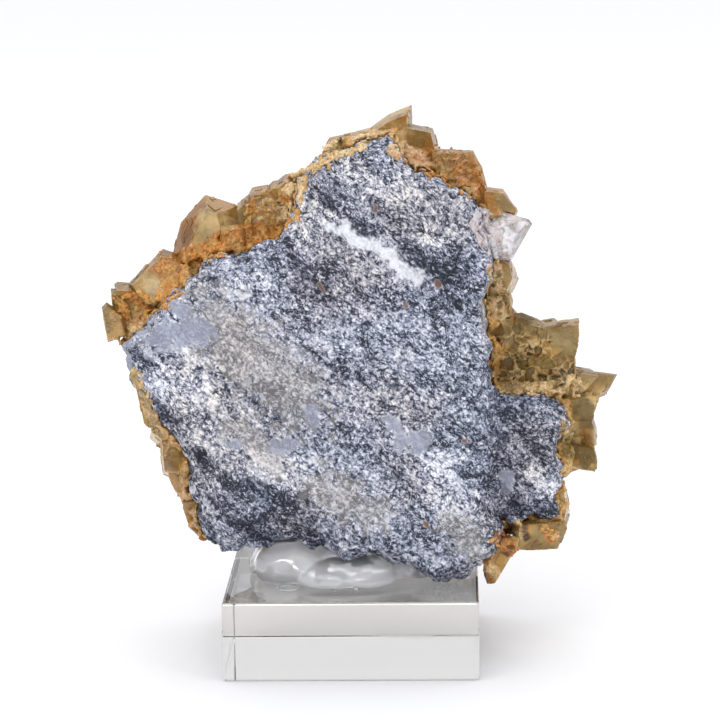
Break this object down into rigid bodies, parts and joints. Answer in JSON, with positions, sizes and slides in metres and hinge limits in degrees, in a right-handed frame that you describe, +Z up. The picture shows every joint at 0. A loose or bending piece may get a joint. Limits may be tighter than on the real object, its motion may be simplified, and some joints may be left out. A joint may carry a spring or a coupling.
{
  "type": "siderite mineral specimen on a clear display block",
  "caption": "Upright slab of grey granular rock, edged and backed with honey-brown rhombohedral siderite crystals, glued to a clear square block for display.",
  "frame": {"origin": "centre of the block's underside", "axes": "+Z up; -Y the way the rock's broad bare face looks; +Y towards the crystal-covered far side; +X to the right seen from the front; the block's sides lie along X and Y"},
  "size_m": [0.1054, 0.058, 0.1103],
  "materials": {
    "clear_acrylic": "clear cast acrylic with polished faces and edges",
    "hot_melt_glue": "clear to milky hot-melt glue with a wet gloss and trapped bubbles",
    "quartz_rock": "rough broken face of white, grey and dark grains with slanting foliation",
    "siderite": "translucent honey-brown to olive crystals with a glassy to pearly gloss",
    "clear_quartz": "colourless glassy crystal with white and faintly pink veils inside"
  },
  "bodies": {
    "root": {"acrylic_block": "clear_acrylic", "mounting_glue": "hot_melt_glue", "matrix_rock": "quartz_rock", "siderite_crust": "siderite", "clear_crystal": "clear_quartz"}
  },
  "joints": []
}
